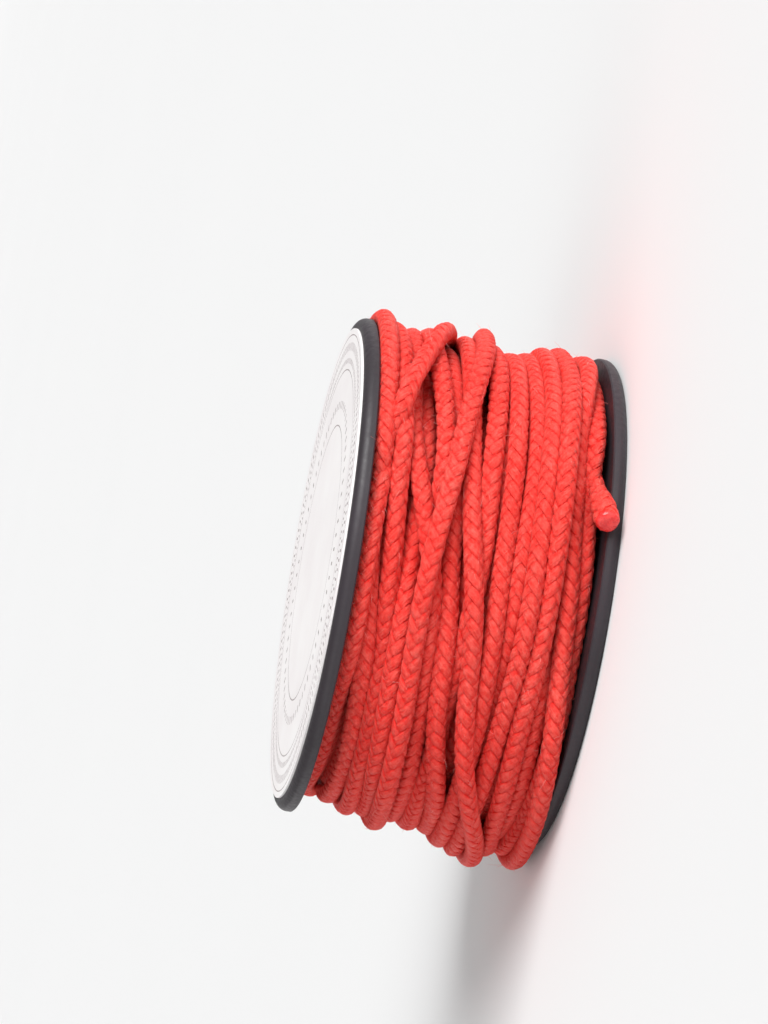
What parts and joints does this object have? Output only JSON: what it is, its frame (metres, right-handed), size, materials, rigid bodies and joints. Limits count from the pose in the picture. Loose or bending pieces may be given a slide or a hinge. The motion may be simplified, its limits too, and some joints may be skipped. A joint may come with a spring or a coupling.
{
  "type": "cord spool",
  "caption": "Two-flange plastic spool with a paper label on one face, wound full of thin round braided cord whose free end bends over a rim.",
  "frame": {"origin": "centre of the bottom flange's outer face, on the spool's axis", "axes": "+Z along the spool's axis, from the plain bottom flange to the labelled top flange; the cord's free end lies on the -Y side"},
  "size_m": [0.0394, 0.0395, 0.02],
  "materials": {
    "flange_plastic": "matte",
    "core_plastic": "matte",
    "label_paper": "matte",
    "cord_braid": "satin",
    "cord_melt": "satin"
  },
  "bodies": {
    "root": {"bottom_flange": "flange_plastic", "top_flange": "flange_plastic", "core_tube": "core_plastic", "label_disc": "label_paper", "cord_inner_end": "cord_braid", "cord_winding": "cord_braid", "cord_tail": "cord_braid", "cord_tip": "cord_melt"}
  },
  "joints": []
}
